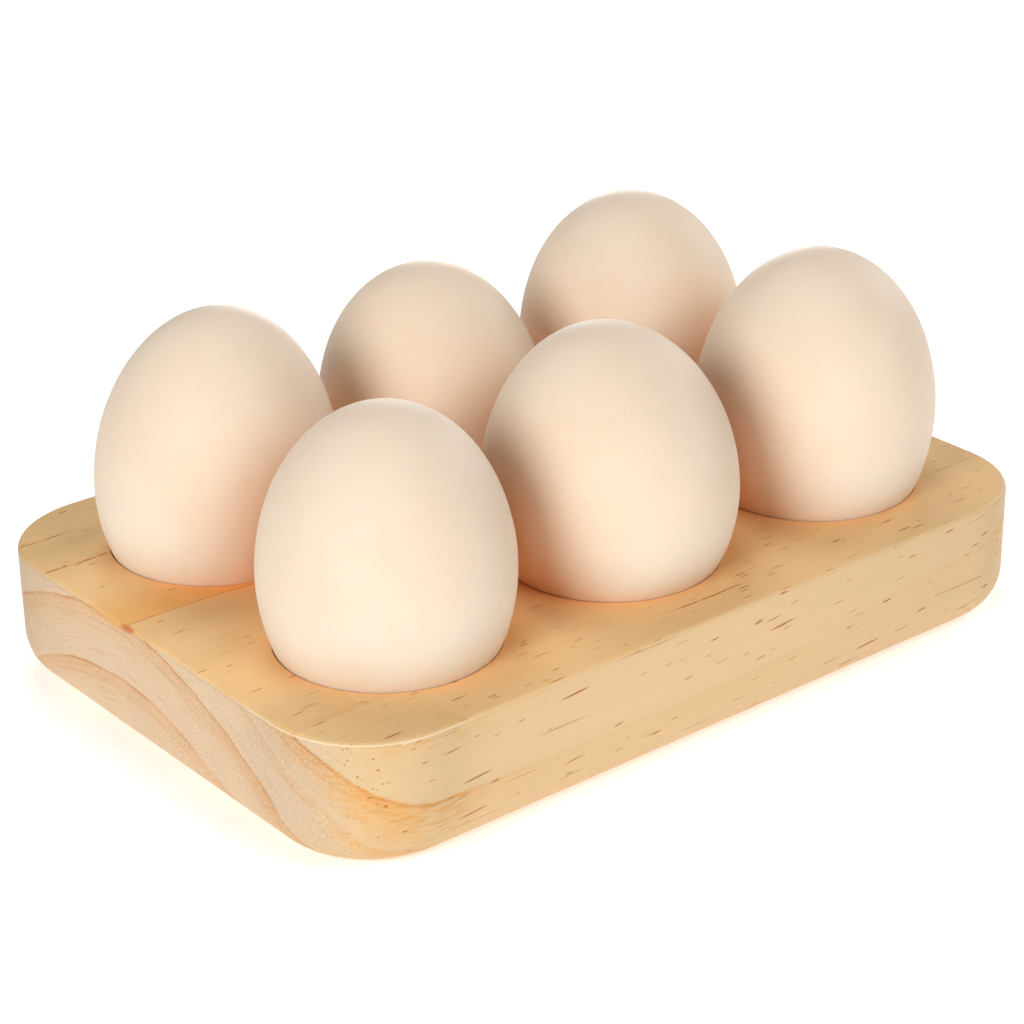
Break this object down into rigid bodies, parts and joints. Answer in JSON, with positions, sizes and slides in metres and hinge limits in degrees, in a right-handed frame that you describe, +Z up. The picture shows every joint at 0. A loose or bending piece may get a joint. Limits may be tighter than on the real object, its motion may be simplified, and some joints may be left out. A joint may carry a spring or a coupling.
{
  "type": "egg holder tray",
  "caption": "Rounded rectangular wooden board tray with a grid of round blind recesses, each holding a loose upright egg that lifts out.",
  "frame": {"origin": "centre of the board's flat underside", "axes": "+Z up out of the recesses, +X along the board's length, +Y across it from the front row to the back row"},
  "size_m": [0.162, 0.112, 0.0691],
  "materials": {
    "pine": "sanded, unvarnished or thinly oiled",
    "eggshell": "matt natural shell"
  },
  "bodies": {
    "tray": {"tray": "pine"},
    "egg_front_left": {"egg_front_left": "eggshell"},
    "egg_front_middle": {"egg_front_middle": "eggshell"},
    "egg_front_right": {"egg_front_right": "eggshell"},
    "egg_back_left": {"egg_back_left": "eggshell"},
    "egg_back_middle": {"egg_back_middle": "eggshell"},
    "egg_back_right": {"egg_back_right": "eggshell"}
  },
  "joints": [
    {"name": "egg_front_left_lift", "type": "slide", "parent": "tray", "child": "egg_front_left", "axis": [0, 0, 1], "range_m": [0, 0.07]},
    {"name": "egg_front_middle_lift", "type": "slide", "parent": "tray", "child": "egg_front_middle", "axis": [0, 0, 1], "range_m": [0, 0.07]},
    {"name": "egg_front_right_lift", "type": "slide", "parent": "tray", "child": "egg_front_right", "axis": [0, 0, 1], "range_m": [0, 0.07]},
    {"name": "egg_back_left_lift", "type": "slide", "parent": "tray", "child": "egg_back_left", "axis": [0, 0, 1], "range_m": [0, 0.07]},
    {"name": "egg_back_middle_lift", "type": "slide", "parent": "tray", "child": "egg_back_middle", "axis": [0, 0, 1], "range_m": [0, 0.07]},
    {"name": "egg_back_right_lift", "type": "slide", "parent": "tray", "child": "egg_back_right", "axis": [0, 0, 1], "range_m": [0, 0.07]}
  ]
}
